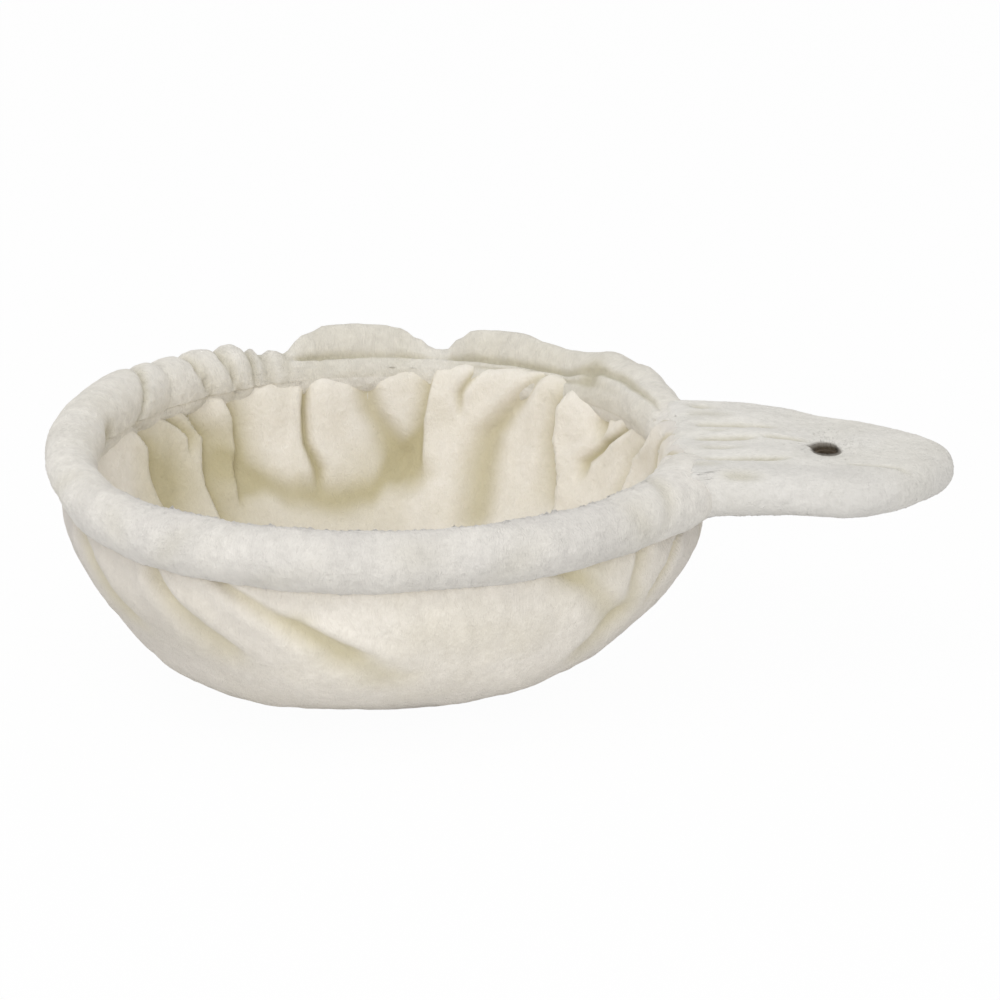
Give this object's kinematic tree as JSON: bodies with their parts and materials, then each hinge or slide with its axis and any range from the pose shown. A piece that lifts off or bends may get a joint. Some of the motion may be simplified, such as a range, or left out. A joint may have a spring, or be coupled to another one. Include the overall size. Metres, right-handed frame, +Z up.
{
  "type": "cat tree hammock",
  "caption": "Round plush hammock bowl for a cat tree, hung from a padded ring on a flat tongue-shaped arm with a bolt hole.",
  "frame": {"origin": "centre of the bolt hole, halfway through the arm's board", "axes": "+X along the arm away from the bowl, +Z up along the bolt hole, +Y to the left of +X"},
  "size_m": [0.5502, 0.4071, 0.1607],
  "materials": {
    "steel_rod": "satin",
    "board_wood": "matte",
    "strap_steel": "satin",
    "screw_steel": "satin",
    "foam": "matte",
    "elastic": "matte",
    "rim_plush": "matte",
    "bowl_plush": "matte",
    "lining_plush": "matte",
    "wadding": "matte",
    "arm_plush": "matte",
    "thread": "matte"
  },
  "bodies": {
    "root": {"ring_rod": "steel_rod", "arm_board": "board_wood", "rod_straps": "strap_steel", "strap_screws": "screw_steel", "ring_foam": "foam", "gather_elastic": "elastic", "rim_casing": "rim_plush", "bowl_outer": "bowl_plush", "bowl_lining": "lining_plush", "base_pad": "wadding", "arm_pad_top": "wadding", "arm_pad_base": "wadding", "arm_cover_top": "arm_plush", "arm_cover_base": "arm_plush", "arm_seam_thread": "thread", "rim_seam_thread": "thread", "lining_seam_thread": "thread"}
  },
  "joints": []
}
